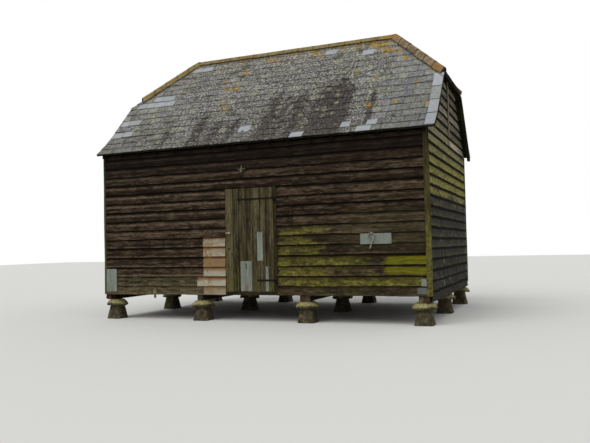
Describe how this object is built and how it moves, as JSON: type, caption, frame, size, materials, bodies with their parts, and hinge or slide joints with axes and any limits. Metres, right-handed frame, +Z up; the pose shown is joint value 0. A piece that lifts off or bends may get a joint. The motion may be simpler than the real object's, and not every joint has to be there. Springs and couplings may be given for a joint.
{
  "type": "raised granary",
  "caption": "Weatherboarded timber granary raised on staddle stones, with a half-hipped slate roof and one plank door that swings outwards.",
  "frame": {"origin": "on the ground, under the middle of the building", "axes": "+X along the front towards the right-hand gable, -Y the way the door faces, +Z up"},
  "size_m": [7.85, 5.2, 6.4254],
  "materials": {
    "staddle_stone": "rough, mossy limestone",
    "red_brick": "old red brick",
    "clay_tile": "matt fired clay with lichen",
    "roof_slate": "riven slate with lichen",
    "zinc_sheet": "dull weathered sheet",
    "black_iron": "rusted wrought iron",
    "door_plank": "bare weathered planks with algae",
    "weathered_board": "dark weathered boards",
    "mossy_board": "weathered boards with green algae",
    "oak_frame": "dry sawn oak"
  },
  "bodies": {
    "granary": {"staddle_stems_front": "staddle_stone", "staddle_stems_middle": "staddle_stone", "staddle_stems_back": "staddle_stone", "staddle_caps_front": "staddle_stone", "staddle_caps_middle": "staddle_stone", "staddle_caps_back": "staddle_stone", "cross_beams": "oak_frame", "brick_packers": "red_brick", "block_packers": "staddle_stone", "front_sill": "oak_frame", "back_sill": "oak_frame", "gable_sills": "oak_frame", "floor_joists": "oak_frame", "floor_boards": "oak_frame", "corner_posts": "oak_frame", "door_posts": "oak_frame", "door_head": "oak_frame", "front_studs_left": "oak_frame", "front_studs_right": "oak_frame", "back_studs": "oak_frame", "gable_studs_left": "oak_frame", "gable_studs_right": "oak_frame", "wall_plates": "oak_frame", "gable_ties": "oak_frame", "tie_beams": "oak_frame", "queen_struts": "oak_frame", "purlins": "oak_frame", "collars": "oak_frame", "gable_collars": "oak_frame", "ridge_board": "oak_frame", "hip_rafters": "oak_frame", "rafters_front": "oak_frame", "rafters_back": "oak_frame", "jack_rafters": "oak_frame", "sprockets": "oak_frame", "verge_boards": "oak_frame", "front_wall_left": "weathered_board", "front_wall_right": "weathered_board", "front_wall_over_door": "weathered_board", "back_wall": "weathered_board", "left_gable_wall": "mossy_board", "right_gable_wall": "mossy_board", "corner_boards": "mossy_board", "door_jamb_strip": "door_plank", "threshold": "door_plank", "gable_joint_strip": "mossy_board", "front_slope": "roof_slate", "back_slope": "roof_slate", "left_half_hip": "roof_slate", "right_half_hip": "roof_slate", "ridge_tiles": "clay_tile", "hip_tiles": "clay_tile", "wall_patches": "zinc_sheet", "wall_ironwork": "black_iron", "pintles": "black_iron"},
    "door": {"door_leaf": "door_plank", "door_ledges": "oak_frame", "strap_hinges": "black_iron", "latch_plate": "zinc_sheet", "door_patches": "zinc_sheet"}
  },
  "joints": [
    {"name": "door_hinge", "type": "hinge", "parent": "granary", "child": "door", "pos_m": [0.525, -2.5225, 1.72], "axis": [0, 0, 1], "range_deg": [0, 110]}
  ]
}
